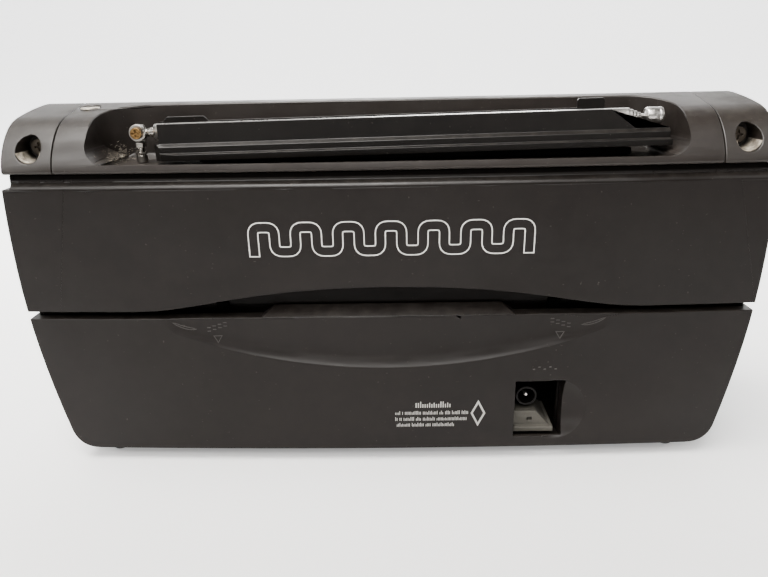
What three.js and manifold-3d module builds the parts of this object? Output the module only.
// A portable radio cassette recorder in dark plastic, drawn as an assembly of separate pieces.
// Millimetres, +Z up. The front panel faces -Y and the battery side faces +Y. The set stands on
// four feet at z = 0 and the origin is under the middle of its box.
import * as THREE from 'three';
import { mergeVertices } from 'three/addons/utils/BufferGeometryUtils.js';
import Module from 'manifold-3d';

const wasm = await Module();
wasm.setup();

// ---- driving dimensions -------------------------------------------------------------------------
const HALF_WIDTH = 171;           // widest half of the cabinet
const DEPTH = 88;                 // cabinet, front panel to rear face
const BULGE = 4;                  // how far the rear face bows out in the middle
const KNOB_PROUD = 8;             // how far the knobs stand out of the front panel
const FOOT_HEIGHT = 7;
const LEDGE_Z = 140;              // top of the cabinet walls
const BLOCK_Z = 147;              // lower edge of the rounded top block
const BLOCK_RISE = 26.5;          // ridge above that edge
const SEAM_X = 145.2;             // joint between the top cover and an end cap
const WALL = 2.5;                 // moulded wall
const GAP = 0.3;                  // clearance between neighbouring pieces
const COVER_TOP_Z = 78.2;         // upper edge of the battery cover
const SHELL_LOW_Z = 81.7;         // lower edge of the upper rear shell

const REAR_Y = (DEPTH + KNOB_PROUD) / 2;
const FRONT_Y = REAR_Y - DEPTH;
const BOTTOM_Z = FOOT_HEIGHT;
const SPLIT_D = 42;               // parting line of the two cabinets, measured from the rear face
const NECK = 3;                   // the shadow groove's depth under the top block
const ROLL = 0.7;                 // how far the block's rolled edge reaches below its widest line
const NECK_TOP_Z = BLOCK_Z - ROLL - GAP;
const END_X = 168;                // outer face of an end cap

const back = (d) => REAR_Y - d;   // y of a plane d behind the rear face
const front = (d) => FRONT_Y + d; // y of a plane d behind the front panel's face
const up = (h) => BLOCK_Z + h;    // z of a level h above the top block's lower edge

// ---- materials ----------------------------------------------------------------------------------
const finish = (color, roughness, metalness = 0) =>
  new THREE.MeshStandardMaterial({ color, roughness, metalness });
const CHARCOAL = finish(0x2b2a2b, 0.55);
const CAP_BROWN = finish(0x2c2826, 0.6);
const BLACK = finish(0x17171a, 0.5);
const RUBBER = finish(0x101010, 0.9);
const SMOKED = finish(0x1c2024, 0.15);
const GREY = finish(0x8c8a84, 0.6);
const CHROME = finish(0xd8d8d8, 0.15, 1);
const BRASS = finish(0xb9924a, 0.3, 1);
const STEEL = finish(0x9a9a9a, 0.4, 1);
const PAPER = finish(0x30302c, 0.9);
const BOARD = finish(0x8a6a3a, 0.7);
const FERRITE = finish(0x2a2624, 0.8);

// ---- solids -------------------------------------------------------------------------------------
function solid(geometry) {
  const bare = geometry.index ? geometry.toNonIndexed() : geometry.clone();
  bare.deleteAttribute('normal');
  bare.deleteAttribute('uv');
  const merged = mergeVertices(bare, 1e-4);
  const mesh = new wasm.Mesh({
    numProp: 3,
    vertProperties: new Float32Array(merged.attributes.position.array),
    triVerts: new Uint32Array(merged.index.array),
  });
  return new wasm.Manifold(mesh);
}

function toGeometry(manifold) {
  const { vertProperties, triVerts } = manifold.getMesh();
  const geometry = new THREE.BufferGeometry();
  geometry.setAttribute('position', new THREE.BufferAttribute(new Float32Array(vertProperties), 3));
  geometry.setIndex(new THREE.BufferAttribute(new Uint32Array(triVerts), 1));
  geometry.computeVertexNormals();
  return geometry;
}

const join = (...solids) => solids.reduce((sum, next) => sum.add(next));
const cut = (body, ...tools) => tools.reduce((rest, tool) => rest.subtract(tool), body);

function box(x0, x1, y0, y1, z0, z1) {
  const geometry = new THREE.BoxGeometry(Math.abs(x1 - x0), Math.abs(y1 - y0), Math.abs(z1 - z0));
  return solid(geometry.translate((x0 + x1) / 2, (y0 + y1) / 2, (z0 + z1) / 2));
}

// An extrusion along local z, turned so that the shape lies in the named plane.
const TURNS = {
  xy: new THREE.Matrix4(),
  xz: new THREE.Matrix4().makeBasis(
    new THREE.Vector3(1, 0, 0), new THREE.Vector3(0, 0, 1), new THREE.Vector3(0, -1, 0)),
  yz: new THREE.Matrix4().makeBasis(
    new THREE.Vector3(0, 1, 0), new THREE.Vector3(0, 0, 1), new THREE.Vector3(1, 0, 0)),
};

function prism(plane, shape, low, high, { steps = 1, move = null, curveSegments = 8 } = {}) {
  const flip = plane === 'xz' ? -1 : 1;
  const [from, to] = [flip * low, flip * high].sort((a, b) => a - b);
  const geometry = new THREE.ExtrudeGeometry(shape, {
    depth: to - from,
    steps,
    curveSegments,
    bevelEnabled: false,
  });
  geometry.translate(0, 0, from).applyMatrix4(TURNS[plane]);
  if (move) {
    const points = geometry.attributes.position;
    const point = new THREE.Vector3();
    for (let i = 0; i < points.count; i += 1) {
      move(point.fromBufferAttribute(points, i));
      points.setXYZ(i, point.x, point.y, point.z);
    }
  }
  return solid(geometry);
}

// The rear face bows in plan: at x it lies this far in front of where it is in the middle.
const bow = (x) => BULGE * (x / HALF_WIDTH) ** 2;
const bowed = (point) => {
  point.y -= bow(point.x) * THREE.MathUtils.clamp((point.y - FRONT_Y) / DEPTH, 0, 1);
};
const BOW_STEPS = 12;

// A turned piece: outline is a list of [radius, distance along the axis], closed on itself.
function turned(axis, [x, y, z], outline, segments = 16) {
  const points = [...outline, outline[0]].map(([r, a]) => new THREE.Vector2(r, a));
  if (THREE.ShapeUtils.area(points) < 0) {
    points.reverse();
  }
  const geometry = new THREE.LatheGeometry(points, segments);
  if (axis === 'x') {
    geometry.rotateZ(-Math.PI / 2);
  }
  if (axis === 'z') {
    geometry.rotateX(Math.PI / 2);
  }
  return solid(geometry.translate(x, y, z));
}

function rod(axis, [x, y, z], radius, from, to, segments = 16) {
  const geometry = new THREE.CylinderGeometry(radius, radius, to - from, segments);
  geometry.translate(0, (from + to) / 2, 0);
  if (axis === 'x') {
    geometry.rotateZ(-Math.PI / 2);
  }
  if (axis === 'z') {
    geometry.rotateX(Math.PI / 2);
  }
  return solid(geometry.translate(x, y, z));
}

function polygon(points) {
  return new THREE.Shape(points.map(([a, b]) => new THREE.Vector2(a, b)));
}

function roundedRect(a0, a1, b0, b1, r) {
  const shape = new THREE.Shape();
  shape.moveTo(a0 + r, b0);
  shape.lineTo(a1 - r, b0);
  shape.absarc(a1 - r, b0 + r, r, -Math.PI / 2, 0);
  shape.lineTo(a1, b1 - r);
  shape.absarc(a1 - r, b1 - r, r, 0, Math.PI / 2);
  shape.lineTo(a0 + r, b1);
  shape.absarc(a0 + r, b1 - r, r, Math.PI / 2, Math.PI);
  shape.lineTo(a0, b0 + r);
  shape.absarc(a0 + r, b0 + r, r, Math.PI, 1.5 * Math.PI);
  return shape;
}

const radio = new THREE.Group();

function add(name, body, material) {
  const mesh = new THREE.Mesh(toGeometry(body), material);
  mesh.name = name;
  radio.add(mesh);
}

// ---- cabinet shells -----------------------------------------------------------------------------
// Rear view outline: slightly barrel-shaped sides with round lower corners.
function cabinetOutline(inset, topZ) {
  const low = BOTTOM_Z + inset;
  const side = (x) => x - inset;
  const shape = new THREE.Shape();
  shape.moveTo(-side(148), low);
  shape.lineTo(side(148), low);
  shape.quadraticCurveTo(side(158.5), low, side(161), low + 10);
  shape.quadraticCurveTo(side(HALF_WIDTH), 64, side(HALF_WIDTH), 102);
  shape.quadraticCurveTo(side(HALF_WIDTH), 123, side(169.6), topZ);
  shape.lineTo(-side(169.6), topZ);
  shape.quadraticCurveTo(-side(HALF_WIDTH), 123, -side(HALF_WIDTH), 102);
  shape.quadraticCurveTo(-side(HALF_WIDTH), 64, -side(161), low + 10);
  shape.quadraticCurveTo(-side(158.5), low, -side(148), low);
  return shape;
}

// Plan view: square at the front, bowed at the rear, with small round corners.
function plan(inset) {
  const edge = HALF_WIDTH + 5;
  const corner = back(inset + bow(edge));
  const shape = new THREE.Shape();
  shape.moveTo(-edge, front(inset));
  shape.lineTo(edge, front(inset));
  shape.lineTo(edge, corner);
  shape.quadraticCurveTo(0, back(inset) + bow(edge), -edge, corner);
  shape.lineTo(-edge, front(inset));
  return prism('xy', shape, -10, 220, { curveSegments: 16 });
}

const volume = (inset, topZ) => prism('xz', cabinetOutline(inset, topZ), FRONT_Y - 5, REAR_Y + 5)
  .intersect(plan(inset));
const shell = cut(join(volume(0, LEDGE_Z), volume(NECK, NECK_TOP_Z)),
  volume(WALL, LEDGE_Z - WALL), volume(NECK + WALL, BLOCK_Z + 10));

// The rear wall's upper edge: a rounded slope that rises from the wall's face to the neck.
const SLOPE_RISE = 3;
function ledgeSlope() {
  const air = prism('yz', polygon([
    [back(-5), LEDGE_Z - 0.7], [back(0), LEDGE_Z - 0.7], [back(0.1), LEDGE_Z + 0.1],
    [back(0.5), LEDGE_Z + 0.8], [back(1.2), LEDGE_Z + 1.4], [back(NECK + 0.1), LEDGE_Z + 2.6],
    [back(NECK + 0.1), LEDGE_Z + 9], [back(-5), LEDGE_Z + 9],
  ]), -HALF_WIDTH - 5, HALF_WIDTH + 5, { steps: BOW_STEPS, move: bowed });
  const room = box(-166, 166, back(NECK + WALL + BULGE), REAR_Y, LEDGE_Z - 1, LEDGE_Z + SLOPE_RISE);
  const strip = volume(0, LEDGE_Z + SLOPE_RISE).intersect(room);
  return { air, strip: cut(strip, air, volume(NECK + WALL, BLOCK_Z)) };
}

// The finger slot over the battery cover: a flat-topped arch that runs out into the seam.
const ARCH = { half: 118, rise: 11.6, depth: 10 };
function archShape(offset) {
  const low = SHELL_LOW_Z - 4;
  const foot = SHELL_LOW_Z + offset;
  const top = foot + ARCH.rise;
  const shape = new THREE.Shape();
  shape.moveTo(-ARCH.half, low);
  shape.lineTo(ARCH.half, low);
  shape.lineTo(ARCH.half, foot);
  shape.bezierCurveTo(88, foot, 68, top, 0, top);
  shape.bezierCurveTo(-68, top, -88, foot, -ARCH.half, foot);
  shape.lineTo(-ARCH.half, low);
  return shape;
}

const COVER_WRAP = 12;            // how far the battery cover wraps round the sides
const LATCH_X = 79;
const TRAY = { x0: -16, x1: 148, z0: 14.5, z1: 71.5, depth: 30 };
const DC = { x: -68.3, z: 31.6 };
const RECESS = { x0: -85.3, x1: -61.2, z0: 12.9, z1: 43.6 };
const SCREW = { x: 156, d: 4.8, h: 9.7 };

function rearCabinet() {
  const behindSplit = box(-200, 200, back(SPLIT_D - GAP / 2), REAR_Y + 5, 0, 200);
  const coverRoom = join(
    box(-200, 200, back(COVER_WRAP + GAP), REAR_Y + 5, BOTTOM_Z + 3, SHELL_LOW_Z),
    cut(box(-200, 200, back(COVER_WRAP + GAP), REAR_Y + 5, 0, SHELL_LOW_Z), plan(4.2)));
  const wallD = COVER_WRAP + GAP;
  const bulkhead = prism('xz', cabinetOutline(WALL / 2, SHELL_LOW_Z + WALL),
    back(wallD + WALL), back(wallD));
  const shelf = volume(WALL / 2, SHELL_LOW_Z + WALL)
    .intersect(box(-200, 200, back(wallD), REAR_Y, SHELL_LOW_Z, SHELL_LOW_Z + WALL));
  const liner = prism('xz', archShape(WALL), back(wallD), back(3));
  const latchHoles = [-LATCH_X, LATCH_X].map((x) =>
    box(x - 3.2, x + 3.2, back(wallD), back(9), SHELL_LOW_Z - 6, SHELL_LOW_Z + 2));
  const trayHole = box(TRAY.x0 - GAP, TRAY.x1 + GAP, back(20), back(10), TRAY.z0 - GAP, TRAY.z1 + GAP);
  const socketHole = box(RECESS.x0 + 1, RECESS.x1 - 0.4, back(20), back(10), BOTTOM_Z + WALL,
    DC.z + 6);
  const lugs = [-1, 1].map((side) =>
    box(side * 153, side * 165, back(30), back(22.5), LEDGE_Z - 4, up(14)));
  const bores = [-1, 1].map((side) =>
    rod('y', [side * SCREW.x, 0, up(SCREW.h)], 1.9, back(32), back(20), 12));
  const slope = ledgeSlope();
  const upperEdge = slope.air.intersect(box(-200, 200, back(NECK + BULGE), REAR_Y + 5,
    0, LEDGE_Z));
  const body = join(cut(shell.intersect(behindSplit), upperEdge), slope.strip, shelf, liner);
  return cut(join(cut(body, coverRoom), bulkhead, ...lugs),
    prism('xz', archShape(0), back(ARCH.depth), REAR_Y + 5), ...latchHoles, trayHole, socketHole,
    ...bores);
}

// ---- front panel layout -------------------------------------------------------------------------
const SPEAKER = { x: 112, z: 64, half: 44, corner: 12 };
const DIAL = { half: 74, z0: 115, z1: 133 };
const KNOB = { x: 112, z: 124, radius: 9 };
const SWITCH = { x: -88, z: 124, travel: 6 };
const DOOR = { half: 55, z0: 27, z1: 105 };
const KEYS = { count: 5, pitch: 22, width: 21, z0: 10.6, z1: 22.4, proud: 3 };

function frontCabinet() {
  const beforeSplit = box(-200, 200, FRONT_Y - 5, back(SPLIT_D + GAP / 2), 0, 200);
  const through = (shape) => prism('xz', shape, FRONT_Y - 5, front(WALL + 2), { curveSegments: 4 });
  const speakerHoles = [-1, 1].map((side) => through(roundedRect(
    side * SPEAKER.x - SPEAKER.half, side * SPEAKER.x + SPEAKER.half,
    SPEAKER.z - SPEAKER.half, SPEAKER.z + SPEAKER.half, SPEAKER.corner)));
  const shaftHoles = [-1, 1].map((side) =>
    rod('y', [side * KNOB.x, 0, KNOB.z], 3.6, FRONT_Y - 5, front(WALL + 2)));
  const keyRow = KEYS.count * KEYS.pitch / 2 + 1;
  return cut(shell.intersect(beforeSplit), ...speakerHoles, ...shaftHoles,
    through(roundedRect(-DIAL.half, DIAL.half, DIAL.z0, DIAL.z1, 3)),
    through(roundedRect(SWITCH.x - 10, SWITCH.x + 10, SWITCH.z - 2.4, SWITCH.z + 2.4, 1)),
    through(roundedRect(-DOOR.half, DOOR.half, DOOR.z0, DOOR.z1, 3)),
    through(roundedRect(-keyRow, keyRow, KEYS.z0 - 0.6, KEYS.z1 + 0.6, 1)));
}

// ---- top block ----------------------------------------------------------------------------------
// Side view outline of the shoulder, from the rolled lower edge to the ridge. Distances run from
// the rear face, so y falls as they grow.
function shoulder(shape) {
  shape.moveTo(back(2), up(-ROLL));
  shape.quadraticCurveTo(back(0.2), up(-ROLL), back(0), up(0.9));
  shape.bezierCurveTo(back(1), up(7), back(9), up(19), back(21), up(21.8));
  shape.quadraticCurveTo(back(32), up(24.4), back(44), up(BLOCK_RISE));
}

function capOutline() {
  const shape = new THREE.Shape();
  shoulder(shape);
  shape.lineTo(back(72), up(23.3));
  shape.quadraticCurveTo(back(86), up(22.3), back(DEPTH), up(10));
  shape.lineTo(back(DEPTH), up(0));
  shape.quadraticCurveTo(back(DEPTH), up(-ROLL), back(DEPTH - 2), up(-ROLL));
  return shape;
}

const DECK_RISE = 9.5;            // the handle's deck above the block's lower edge
function coverOutline() {
  const shape = new THREE.Shape();
  shoulder(shape);
  shape.quadraticCurveTo(back(46.5), up(BLOCK_RISE), back(47), up(24));
  shape.lineTo(back(49.5), up(DECK_RISE));
  shape.lineTo(back(DEPTH - 3), up(DECK_RISE));
  shape.quadraticCurveTo(back(DEPTH), up(DECK_RISE), back(DEPTH), up(DECK_RISE - 3));
  shape.lineTo(back(DEPTH), up(0));
  shape.quadraticCurveTo(back(DEPTH), up(-ROLL), back(DEPTH - 2), up(-ROLL));
  return shape;
}

const WELL = { half: 131, lip: 3, floor: 0.6, far: 39.5, frontCorner: 18, lowCorner: 9 };
const SOCKET = { x: 138.9, d: 37, h: 25, flange: 4.5, bore: 3.7 };

function topCover() {
  const along = { steps: BOW_STEPS, move: bowed };
  const solidBlock = prism('yz', coverOutline(), -SEAM_X + GAP / 2, SEAM_X - GAP / 2, along);
  const section = polygon([
    [back(-5), up(WELL.lip)], [back(2.6), up(WELL.lip)], [back(3.2), up(WELL.floor)],
    [back(32.5), up(WELL.floor)], [back(36), up(3)], [back(WELL.far + 1), up(BLOCK_RISE + 5)],
    [back(-5), up(BLOCK_RISE + 5)],
  ]);
  const r = WELL.frontCorner;
  const top = roundedRect(-WELL.half, WELL.half, back(WELL.far), back(-40), r);
  const face = roundedRect(-WELL.half, WELL.half, up(WELL.lip), up(60), WELL.lowCorner);
  const floor = roundedRect(-WELL.half + 7, WELL.half - 7, up(WELL.floor), up(8), 2);
  const well = prism('yz', section, -WELL.half, WELL.half, along)
    .intersect(prism('xy', top, up(-5), up(50)))
    .intersect(join(prism('xz', face, back(60), back(-5)), prism('xz', floor, back(60), back(-5))));
  const pocket = prism('yz', polygon([
    [back(41.5), up(-5)], [back(43.5), up(22)], [back(45.5), up(22)], [back(47.5), up(DECK_RISE - WALL)],
    [back(DEPTH - WALL), up(DECK_RISE - WALL)], [back(DEPTH - WALL), up(-5)],
  ]), -SEAM_X + 3, SEAM_X - 3);
  const jack = (radius, low) => rod('z', [SOCKET.x, back(SOCKET.d), 0], radius, up(low), up(40), 20);
  return cut(solidBlock, well, pocket, jack(SOCKET.bore + GAP, 12),
    jack(SOCKET.flange + GAP, SOCKET.h - 0.8 - GAP));
}

function headphoneSocket() {
  return turned('z', [SOCKET.x, back(SOCKET.d), 0], [
    [1.8, up(12.4)], [SOCKET.bore, up(12.4)], [SOCKET.bore, up(SOCKET.h - 0.8)],
    [SOCKET.flange, up(SOCKET.h - 0.8)], [SOCKET.flange - 0.3, up(SOCKET.h)], [1.8, up(SOCKET.h)],
  ], 20);
}

const HANDLE = { d: 82, h: 15, grip: [50.8, 64], top: 22.5 };

function endCap(side) {
  const face = roundedRect(-END_X, END_X, up(-20), up(BLOCK_RISE), 6);
  const outer = prism('yz', capOutline(), side * (SEAM_X + GAP / 2), side * END_X,
    { steps: 2, move: bowed }).intersect(prism('xz', face, FRONT_Y - 5, REAR_Y + 5));
  const cavity = prism('yz', polygon([
    [back(13), up(-5)], [back(13), up(12)], [back(20), up(18)], [back(32), up(21.5)],
    [back(72), up(20.5)], [back(DEPTH - 4), up(12)], [back(DEPTH - 4), up(-5)],
  ]), side * (SEAM_X + WALL), side * (END_X - WALL));
  const place = [side * SCREW.x, 0, up(SCREW.h)];
  const boss = rod('y', place, 7.4, back(22), back(8), 24).intersect(outer);
  const recess = rod('y', place, 5.75, back(19.8), back(-5), 24);
  const shankHole = rod('y', place, 1.9, back(24), back(18), 12);
  const pinHole = rod('x', [0, back(HANDLE.d), up(HANDLE.h)], 3,
    Math.min(side * 140, side * 152), Math.max(side * 140, side * 152));
  return cut(join(cut(outer, cavity), boss), recess, shankHole, pinHole);
}

function caseScrew(side) {
  const place = [side * SCREW.x, 0, up(SCREW.h)];
  const head = rod('y', place, 3.6, back(19.5), back(16.8));
  const shank = rod('y', place, 1.5, back(29), back(19), 12);
  const slot = (dx, dz) => box(place[0] - dx, place[0] + dx, back(18), back(16),
    place[2] - dz, place[2] + dz);
  return cut(join(head, shank), slot(2, 0.4), slot(0.4, 2));
}

// The carrying handle lies folded on the deck in front of the ridge and turns up on two pins.
function carryHandle() {
  const armX = [129, 137.5];
  const grip = prism('yz', roundedRect(back(HANDLE.grip[1]), back(HANDLE.grip[0]),
    up(DECK_RISE + 1.5), up(HANDLE.top), 4), -armX[1], armX[1], { curveSegments: 4 });
  const parts = [grip];
  for (const side of [-1, 1]) {
    const arm = prism('yz', roundedRect(back(HANDLE.d + 4), back(HANDLE.grip[0] + 3),
      up(HANDLE.h - 4), up(HANDLE.h + 4), 3.9), side * armX[0], side * armX[1], { curveSegments: 4 });
    const ends = [side * 135, side * 151].sort((a, b) => a - b);
    parts.push(arm, rod('x', [0, back(HANDLE.d), up(HANDLE.h)], 2.5, ends[0], ends[1]));
  }
  return join(...parts);
}

// ---- aerial and its cradle ----------------------------------------------------------------------
// The aerial and its cradle slope up a little from the swivel: they are drawn level and then turned.
const AERIAL = { d: 25, h: 14.3, pivotX: 113, sections: 4, radius: 3.8, step: 0.7, wall: 0.45, tilt: 0.85 };
const AERIAL_Y = back(AERIAL.d);
const AERIAL_Z = up(AERIAL.h);

const tilted = (body) => body.translate([-AERIAL.pivotX, 0, -AERIAL_Z])
  .rotate([0, AERIAL.tilt, 0]).translate([AERIAL.pivotX, 0, AERIAL_Z]);

const CRADLE = { end: -126, start: 105, wallTop: 18.3, floor: 9.4 };
function aerialCradle() {
  const { wallTop, floor } = CRADLE;
  const channel = prism('yz', polygon([
    [back(18), up(2)], [back(13), up(2.6)], [back(13), up(5.3)], [back(16), up(5.6)],
    [back(16), up(8.3)], [back(18), up(9.6)], [back(18), up(wallTop)], [back(19.6), up(wallTop)],
    [back(19.6), up(floor)], [back(30.4), up(floor)], [back(30.4), up(wallTop)],
    [back(32), up(wallTop)], [back(32), up(2.6)], [back(31), up(2)],
  ]), CRADLE.end, CRADLE.start);
  const nose = polygon([[107.5, back(12)], [90, back(12)], [101, back(15)], [107.5, back(23)]]);
  const tail = polygon([
    [-98.5, up(wallTop + 5)], [-98.5, up(wallTop + 1)], [-111.5, up(floor + 0.4)],
    [-130, up(floor + 0.4)], [-130, up(wallTop + 5)],
  ]);
  const openLeft = box(102, 110, back(31), back(17), up(floor + 0.1), up(30));
  const clip = (x0, x1, slant, top) => prism('xz', polygon([
    [x0, up(floor + 1)], [x1, up(floor + 1)], [x1, up(top - slant)], [x1 - slant, up(top)],
    [x0 + slant, up(top)], [x0, up(top - slant)]]), back(32), back(30.4));
  const keel = box(-112, 86, back(30), back(23), up(WELL.floor + GAP), up(4));
  return join(
    tilted(join(cut(channel, prism('xy', nose, up(-5), up(12)),
      prism('xz', tail, back(35), back(12)), openLeft),
    clip(81, 104, 3, 20.4), clip(-100.5, -88, 0.8, 22.4))),
    keel);
}

const POST_R = 1.6;
function aerialPost() {
  const foot = rod('z', [AERIAL.pivotX, AERIAL_Y, 0], 2.5, up(WELL.floor + GAP), up(4.2));
  const stem = rod('z', [AERIAL.pivotX, AERIAL_Y, 0], POST_R, up(2), up(8.5));
  const ear = rod('y', [AERIAL.pivotX, 0, AERIAL_Z], 3.5, AERIAL_Y - 3.6, AERIAL_Y - 1.6);
  const elbow = box(AERIAL.pivotX - 1.6, AERIAL.pivotX + 1.6, AERIAL_Y - 3.4, AERIAL_Y + 1.6,
    up(7.6), up(9.9));
  const neck = box(AERIAL.pivotX - 1.6, AERIAL.pivotX + 1.6, AERIAL_Y - 3.4, AERIAL_Y - 1.8,
    up(8), up(12.3));
  const bore = rod('y', [AERIAL.pivotX, 0, AERIAL_Z], 1.5, AERIAL_Y - 5, AERIAL_Y + 1, 12);
  return cut(join(foot, stem, elbow, neck, ear), bore);
}

function aerialNut() {
  return turned('z', [AERIAL.pivotX, AERIAL_Y, 0],
    [[POST_R + 0.35, up(4.5)], [2.7, up(4.5)], [2.7, up(5.7)], [POST_R + 0.35, up(5.7)]], 6);
}

function aerialKnuckle() {
  const ring = rod('y', [AERIAL.pivotX, 0, AERIAL_Z], 3.85, AERIAL_Y - 1.2, AERIAL_Y + 2.4, 20);
  const neck = turned('x', [AERIAL.pivotX, AERIAL_Y, AERIAL_Z],
    [[0, -13], [3.1, -13], [3.1, -9], [1.4, -3], [0, -3]], 14);
  const bore = rod('y', [AERIAL.pivotX, 0, AERIAL_Z], 1.5, AERIAL_Y - 5, AERIAL_Y + 5, 12);
  return tilted(cut(join(ring, neck), bore));
}

function aerialScrew() {
  const place = [AERIAL.pivotX, 0, AERIAL_Z];
  const head = rod('y', place, 2.65, AERIAL_Y + 2.7, AERIAL_Y + 4.2);
  const shank = rod('y', place, 1.2, AERIAL_Y - 4.4, AERIAL_Y + 3, 12);
  const slot = (dx, dz) => box(place[0] - dx, place[0] + dx, AERIAL_Y + 3.5, AERIAL_Y + 5,
    AERIAL_Z - dz, AERIAL_Z + dz);
  return cut(join(head, shank), slot(1.8, 0.35), slot(0.35, 1.8));
}

// Nested tubes, each reaching a little further than the one around it.
const TUBE = { start: 105, end: -109.6, reach: 1.8 };
function aerialTube(index) {
  const outer = AERIAL.radius - index * AERIAL.step;
  const inner = outer - AERIAL.wall;
  const start = index === 0 ? TUBE.start : TUBE.start - 7 - index * 2;
  const end = TUBE.end - index * TUBE.reach;
  return tilted(turned('x', [0, AERIAL_Y, AERIAL_Z],
    [[inner, end], [outer, end], [outer, start], [inner, start]], 16));
}

function aerialTip() {
  const head = { from: -124.8, to: -117 };
  return tilted(join(
    rod('x', [0, AERIAL_Y, AERIAL_Z], 1, head.to - 2, 86, 12),
    rod('x', [0, AERIAL_Y, AERIAL_Z], AERIAL.radius, head.from, head.to, 20)));
}

// ---- battery side -------------------------------------------------------------------------------
// The finger dish: shallow and concave, deepest near its arched lower edge, so that most of it
// faces up. Its depth fades out towards both ends.
const DISH = { low: 52.3, radius: 290, half: 110 };
const DISH_SECTION = [
  [-0.3, -0.5], [0.9, 1.2], [1.9, 3.4], [2.5, 6.2], [2.6, 9.5], [2.2, 14], [1.5, 20], [0.9, 27], [0.9, 45],
];

function dishTool(extra) {
  const shape = polygon([[REAR_Y + 4, DISH.low - 0.5 - extra],
    ...DISH_SECTION.map(([deep, rise]) => [back(deep + extra), DISH.low + rise - extra]),
    [REAR_Y + 4, DISH.low + 45 - extra]].reverse());
  const follow = (point) => {
    const fade = Math.max(0, 1 - (point.x / DISH.half) ** 4);
    const deep = REAR_Y - point.y;
    point.y = REAR_Y + (deep < -1 ? 4 : 0.3 - (deep - extra + 0.3) * fade - extra) - bow(point.x);
    point.z += point.x ** 2 / (2 * DISH.radius);
  };
  return prism('yz', shape, -DISH.half, DISH.half, { steps: 24, move: follow });
}

function batteryCover() {
  const region = join(
    box(-200, 200, back(COVER_WRAP), REAR_Y + 5, BOTTOM_Z + 3.3, COVER_TOP_Z),
    cut(box(-200, 200, back(COVER_WRAP), REAR_Y + 5, 0, COVER_TOP_Z), plan(2.7)));
  const skin = shell.intersect(region);
  const inside = volume(WALL / 2, COVER_TOP_Z).intersect(box(-200, 200, back(11), REAR_Y, 0, 200));
  const dishWall = dishTool(WALL).intersect(inside);
  const rim = inside.intersect(box(-200, 200, back(9), REAR_Y, COVER_TOP_Z - WALL, COVER_TOP_Z));
  const tunnel = prism('xz', roundedRect(RECESS.x0 - 13, RECESS.x1 + 2,
    BOTTOM_Z + WALL + GAP, RECESS.z1 + 2, 3), back(11.5), back(2.2), { curveSegments: 3 });
  const opening = join(box(RECESS.x0, RECESS.x1, back(14), REAR_Y + 5, RECESS.z0, RECESS.z1),
    box(RECESS.x0, RECESS.x1, back(14), back(3), 0, RECESS.z0 + 1));
  const flare = solid(new THREE.SphereGeometry(1, 32, 20).scale(17.5, 9, 19)
    .translate(RECESS.x0 + 4, back(-3.5), RECESS.z0 + 15));
  const ramp = prism('yz', polygon([
    [back(9), COVER_TOP_Z - 1], [back(1.6), COVER_TOP_Z - 1], [back(1.2), COVER_TOP_Z + 0.2],
    [back(7.8), COVER_TOP_Z + 4], [back(9), COVER_TOP_Z + 4]].reverse()), -60, 60);
  const rampEnds = prism('xz', polygon([[-59, 70], [59, 70], [59, COVER_TOP_Z + 0.4],
    [53, COVER_TOP_Z + 4.5], [-53, COVER_TOP_Z + 4.5], [-59, COVER_TOP_Z + 0.4]]),
  back(12), back(0));
  const solidCover = join(skin, dishWall, rim, tunnel, ramp.intersect(rampEnds));
  return cut(solidCover, dishTool(0).intersect(box(-200, 200, 0, REAR_Y + 5, 0, COVER_TOP_Z + 0.1)),
    opening, flare);
}

function latch(x) {
  const slide = box(x - 2.8, x + 2.8, back(11.2), back(9.4), 66, COVER_TOP_Z + 4.8);
  const hook = box(x - 2.8, x + 2.8, back(11.8), back(10), COVER_TOP_Z + 2.2, COVER_TOP_Z + 4.4);
  return join(slide, hook);
}

function batteryTray() {
  const mouth = COVER_WRAP + GAP;
  const outer = box(TRAY.x0, TRAY.x1, back(mouth + TRAY.depth), back(mouth), TRAY.z0, TRAY.z1);
  const inner = box(TRAY.x0 + 1.5, TRAY.x1 - 1.5, back(mouth + TRAY.depth - 1.5), REAR_Y,
    TRAY.z0 + 1.5, TRAY.z1 - 1.5);
  return cut(outer, inner);
}

function batterySpring() {
  const x = TRAY.x0 + 1.5 + GAP;
  const y = back(COVER_WRAP + GAP + 14);
  const z = TRAY.z0 + 15;
  return join(box(x, x + 0.6, y - 9, y + 9, z - 9, z + 9),
    turned('x', [0, y, z], [[3, x + 0.3], [7.5, x + 0.3], [4.5, x + 7], [2.5, x + 7]], 12));
}

function dcSocket() {
  const place = [DC.x, 0, DC.z];
  return join(
    turned('y', place, [[4.1, back(24)], [5.3, back(24)], [5.3, back(8)], [4.1, back(8)]], 20),
    rod('y', place, 5, back(24), back(20), 20),
    rod('y', place, 1, back(21), back(9.5), 10));
}

function socketPanel() {
  const x0 = RECESS.x0 + 3.5;
  const x1 = RECESS.x1 - 0.8;
  const step = RECESS.z0 + 3;
  const lower = box(x0, x1, back(30), back(4.5), RECESS.z0 + GAP, step);
  const upper = prism('xz', polygon([[x0 + 1, step - 1], [x1, step - 1], [x1, 23.6],
    [x0 + 8.5, 23.6]]), back(30), back(7));
  const notch = box(DC.x - 3.2, DC.x - 0.8, back(9), back(6), 18, 20);
  return cut(join(lower, upper), notch);
}

function foot(x, d) {
  return turned('z', [x, back(d), 0],
    [[0, 0], [4, 0], [4.6, 1], [4.6, BOTTOM_Z - GAP], [0, BOTTOM_Z - GAP]], 16);
}

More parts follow.
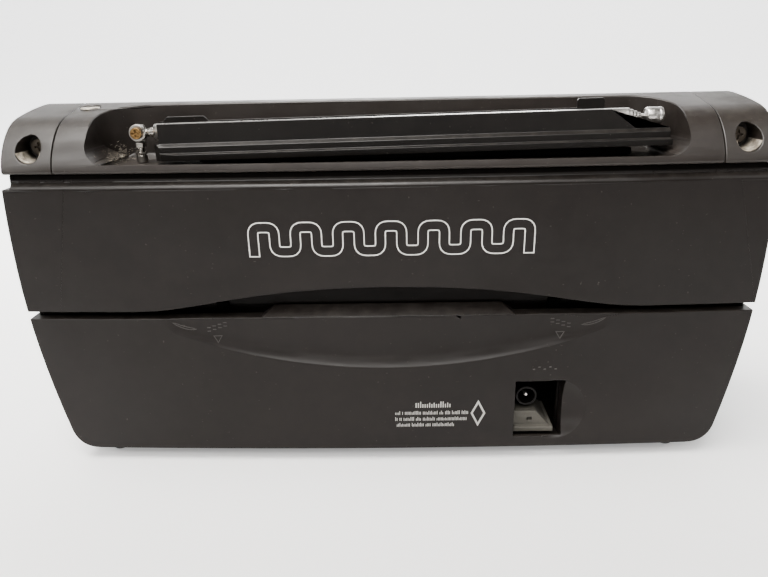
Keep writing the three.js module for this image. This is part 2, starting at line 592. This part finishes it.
// ---- front controls, speakers -------------------------------------------------------------------
function speakerGrille(side) {
  const half = SPEAKER.half - GAP;
  const x = side * SPEAKER.x;
  const plate = prism('xz', roundedRect(x - half, x + half, SPEAKER.z - half, SPEAKER.z + half,
    SPEAKER.corner), front(0.4), front(2.4), { curveSegments: 4 });
  const slots = [];
  for (let row = -5; row <= 5; row += 1) {
    const reach = Math.sqrt(1 - (row / 6) ** 2) * 38;
    const z = SPEAKER.z + row * 6.6;
    slots.push(box(x - reach, x + reach, front(-1), front(4), z - 1.6, z + 1.6));
  }
  return cut(plate, ...slots);
}

function speakerFrame(side) {
  return turned('y', [side * SPEAKER.x, 0, SPEAKER.z], [
    [0, front(26)], [0, front(20)], [15, front(20)], [20, front(15)], [39.5, front(5)],
    [39.5, front(2.8)], [45.5, front(2.8)], [45.5, front(4.4)], [41.5, front(6)], [22, front(17)],
    [22, front(26)],
  ], 20);
}

function speakerCone(side) {
  return turned('y', [side * SPEAKER.x, 0, SPEAKER.z], [
    [0, front(18.5)], [9, front(16)], [38.5, front(4.2)], [38.5, front(3)], [9, front(14.6)],
    [0, front(12)],
  ], 20);
}

function dialWindow() {
  const face = roundedRect(-DIAL.half + GAP, DIAL.half - GAP, DIAL.z0 + GAP, DIAL.z1 - GAP, 3);
  return prism('xz', face, front(0.4), front(2.2), { curveSegments: 4 });
}

function dialPointer() {
  return join(box(-0.8, 0.8, front(3.2), front(4.4), DIAL.z0 + 3, DIAL.z1 - 2),
    box(-4, 4, front(4), front(6), DIAL.z0 + 3, DIAL.z0 + 7));
}

function knob(side) {
  const place = [side * KNOB.x, 0, KNOB.z];
  const cap = turned('y', place, [[0, front(-0.4)], [KNOB.radius, front(-0.4)],
    [KNOB.radius - 0.4, front(-KNOB_PROUD + 1.2)], [KNOB.radius - 1.6, front(-KNOB_PROUD)],
    [0, front(-KNOB_PROUD)]], 28);
  const mark = box(place[0] - 0.6, place[0] + 0.6, front(-KNOB_PROUD - 1), front(-KNOB_PROUD + 0.5),
    KNOB.z + 2.5, KNOB.z + 7.5);
  return cut(join(cap, rod('y', place, 3, front(-1), front(9))), mark);
}

function bandSwitch() {
  return join(box(SWITCH.x - 3.5, SWITCH.x + 3.5, front(-2.5), front(3), SWITCH.z - 2, SWITCH.z + 2),
    box(SWITCH.x - 9, SWITCH.x + 9, front(3), front(4.5), SWITCH.z - 5, SWITCH.z + 5));
}

function pianoKey(index) {
  const x = (index - (KEYS.count - 1) / 2) * KEYS.pitch;
  const half = KEYS.width / 2;
  const side = polygon([
    [front(-KEYS.proud), KEYS.z0 + 1], [front(-KEYS.proud), KEYS.z1 - 2.5],
    [front(-KEYS.proud + 2.5), KEYS.z1], [front(8), KEYS.z1], [front(8), KEYS.z0],
    [front(-KEYS.proud + 1), KEYS.z0],
  ].reverse());
  return prism('yz', side, x - half, x + half);
}

// ---- tape deck ----------------------------------------------------------------------------------
const DECK = { y0: front(18), y1: front(19.6), half: 58, z0: 25, z1: 110 };
const HUB = { x: 21.25, z: 68 };
const CAPSTAN = { x: 28, z: 44 };
const MOTOR = { x: -30, z: 94 };

function cassetteDoor() {
  const half = DOOR.half - 0.4;
  const panel = prism('xz', roundedRect(-half, half, DOOR.z0 + 0.6, DOOR.z1 - 0.4, 3),
    front(0), front(2.4), { curveSegments: 4 });
  const window = box(-34, 34, front(-1), front(1.2), 52, 84);
  const channels = [-1, 1].map((side) =>
    box(side * 50.6, side * 53, front(2), front(13), 46, 100));
  return cut(join(panel, ...channels), window);
}

function deckChassis() {
  const plate = box(-DECK.half, DECK.half, DECK.y0, DECK.y1, DECK.z0, DECK.z1);
  const holes = [[HUB.x, HUB.z, 2], [-HUB.x, HUB.z, 2], [CAPSTAN.x, CAPSTAN.z, 1.6],
    [MOTOR.x, MOTOR.z, 4]].map(([x, z, r]) =>
    rod('y', [x, 0, z], r, DECK.y0 - 2, DECK.y1 + 2, 12));
  const posts = [-1, 1].map((side) =>
    rod('y', [MOTOR.x + side * 9, 0, MOTOR.z], 1.6, DECK.y1 - 0.5, front(26.7), 10));
  const ribs = [-1, 1].map((side) =>
    box(side * 55.4, side * DECK.half, front(WALL + GAP), DECK.y1, DECK.z0, DECK.z1));
  return cut(join(plate, ...posts, ...ribs), ...holes);
}

function tapeSpindle(side) {
  const place = [side * HUB.x, 0, HUB.z];
  const hub = rod('y', place, 3.4, front(8), front(17.5), 16);
  const fins = [0, 1, 2].map((turn) => {
    const fin = box(-0.7, 0.7, front(9), front(17.5), 0, 5);
    return fin.rotate([0, turn * 120, 0]).translate([place[0], 0, place[2]]);
  });
  return join(hub, ...fins, rod('y', place, 1.5, front(17), front(22), 12),
    rod('y', place, 9, front(20), front(21.6), 24));
}

function flywheel() {
  const place = [CAPSTAN.x, 0, CAPSTAN.z];
  const capstan = rod('y', place, 1, front(8), front(21), 12);
  const rim = rod('y', place, 15, front(20.2), front(26), 28);
  return join(capstan, rim);
}

function headPlate() {
  const plate = box(-36, 38, front(14), front(15.4), 28, 37);
  const head = box(-6, 6, front(5.5), front(14.5), 33, 39.5);
  const pin = rod('y', [CAPSTAN.x, 0, CAPSTAN.z - 11.3], 1, front(6.5), front(14.5), 10);
  return join(plate, head, pin);
}

function pinchRoller() {
  return turned('y', [CAPSTAN.x, 0, CAPSTAN.z - 11.3],
    [[1.35, front(13.6)], [6, front(13.6)], [6, front(7)], [1.35, front(7)]], 20);
}

function tapeMotor() {
  const place = [MOTOR.x, 0, MOTOR.z];
  return turned('y', place, [[1.4, front(27)], [1.4, front(34)], [0, front(34)], [0, front(48)],
    [13, front(48)], [13, front(27)]], 24);
}

function motorPulley() {
  const place = [MOTOR.x, 0, MOTOR.z];
  const wheel = rod('y', place, 5, front(20.6), front(25.6), 20);
  const shaft = rod('y', place, 1, front(25), front(33), 12);
  return join(wheel, shaft);
}

// ---- radio works --------------------------------------------------------------------------------
const GANG = { x: 84, z: 124, half: 11 };

function dialDrum() {
  return join(rod('y', [GANG.x, 0, GANG.z], 9.5, front(7), front(10.5), 24),
    rod('y', [GANG.x, 0, GANG.z], 2, front(10), front(16), 12));
}

function tuningGang() {
  const block = box(GANG.x - GANG.half, GANG.x + GANG.half, front(12), front(30),
    GANG.z - GANG.half, GANG.z + GANG.half);
  return cut(block, rod('y', [GANG.x, 0, GANG.z], 2.5, front(10), front(18), 12));
}

// The board, its electrolytic capacitors and the blocks of its amplifier, shields and plug row.
const CAPACITORS = [
  { x: 30, z: 110, radius: 5, length: 14 },
  { x: 46, z: 112, radius: 4, length: 12 },
  { x: 92, z: 108, radius: 6.3, length: 16 },
  { x: -120, z: 106, radius: 4, length: 10 },
];
const BLOCKS = [
  { x0: -20, x1: 10, z0: 104, z1: 112, height: 4 },
  { x0: -90, x1: -50, z0: 100, z1: 114, height: 12 },
  { x0: 60, x1: 80, z0: 100, z1: 108, height: 5 },
];
function mainBoard() {
  const y0 = back(18);
  const board = box(-140, 140, y0, y0 + 1.6, 96, 134);
  const cans = CAPACITORS.map(({ x, z, radius, length }) =>
    rod('y', [x, 0, z], radius, y0 - length, y0 + 0.5, 14));
  const blocks = BLOCKS.map(({ x0, x1, z0, z1, height }) =>
    box(x0, x1, y0 - height, y0 + 0.5, z0, z1));
  return join(board, ...cans, ...blocks);
}

const TRANSFORMER = { x0: -148, x1: -104, z0: 12, z1: 58 };
function mainsTransformer() {
  const { x0, x1, z0, z1 } = TRANSFORMER;
  const core = box(x0, x1, back(40), back(22), z0, z1);
  const winding = box(x0 + 8, x1 - 8, back(46), back(16.5), z0 + 8, z1 - 8);
  return join(core, winding);
}

// ---- the assembly -------------------------------------------------------------------------------
add('front_cabinet', frontCabinet(), CHARCOAL);
add('rear_cabinet', rearCabinet(), CHARCOAL);
add('top_cover', topCover(), CHARCOAL);
add('battery_cover', batteryCover(), CHARCOAL);
add('battery_tray', batteryTray(), BLACK);
add('battery_spring', batterySpring(), STEEL);
add('carry_handle', carryHandle(), CHARCOAL);
add('aerial_cradle', aerialCradle(), BLACK);
add('aerial_post', aerialPost(), CHROME);
add('aerial_nut', aerialNut(), CHROME);
add('aerial_knuckle', aerialKnuckle(), CHROME);
add('aerial_screw', aerialScrew(), BRASS);
for (let index = 0; index < AERIAL.sections; index += 1) {
  add(`aerial_tube_${index + 1}`, aerialTube(index), CHROME);
}
add('aerial_tip', aerialTip(), CHROME);
add('headphone_socket', headphoneSocket(), CHROME);
add('dc_socket', dcSocket(), CHROME);
add('socket_panel', socketPanel(), GREY);

for (const [word, side] of [['left', -1], ['right', 1]]) {
  add(`end_cap_${word}`, endCap(side), CAP_BROWN);
  add(`case_screw_${word}`, caseScrew(side), STEEL);
  add(`cover_latch_${word}`, latch(side * LATCH_X), BLACK);
  add(`speaker_grille_${word}`, speakerGrille(side), BLACK);
  add(`speaker_frame_${word}`, speakerFrame(side), STEEL);
  add(`speaker_cone_${word}`, speakerCone(side), PAPER);
  add(`foot_front_${word}`, foot(side * 143, DEPTH - 11), RUBBER);
  add(`foot_rear_${word}`, foot(side * 143, 16), RUBBER);
}

add('dial_window', dialWindow(), SMOKED);
add('dial_pointer', dialPointer(), finish(0xc03020, 0.5));
add('volume_knob', knob(-1), BLACK);
add('tuning_knob', knob(1), BLACK);
add('band_switch', bandSwitch(), BLACK);
['record', 'play', 'rewind', 'forward', 'stop'].forEach((word, index) => {
  add(`key_${word}`, pianoKey(index), BLACK);
});

add('cassette_door', cassetteDoor(), SMOKED);
add('deck_chassis', deckChassis(), STEEL);
add('spindle_supply', tapeSpindle(-1), BLACK);
add('spindle_takeup', tapeSpindle(1), BLACK);
add('flywheel', flywheel(), STEEL);
add('head_plate', headPlate(), STEEL);
add('pinch_roller', pinchRoller(), RUBBER);
add('tape_motor', tapeMotor(), STEEL);
add('motor_pulley', motorPulley(), BRASS);

add('dial_drum', dialDrum(), BLACK);
add('tuning_gang', tuningGang(), GREY);
add('main_board', mainBoard(), BOARD);
add('ferrite_rod', rod('x', [0, back(28), 128], 5, -140, -20, 16), FERRITE);
add('mains_transformer', mainsTransformer(), STEEL);

export default radio;
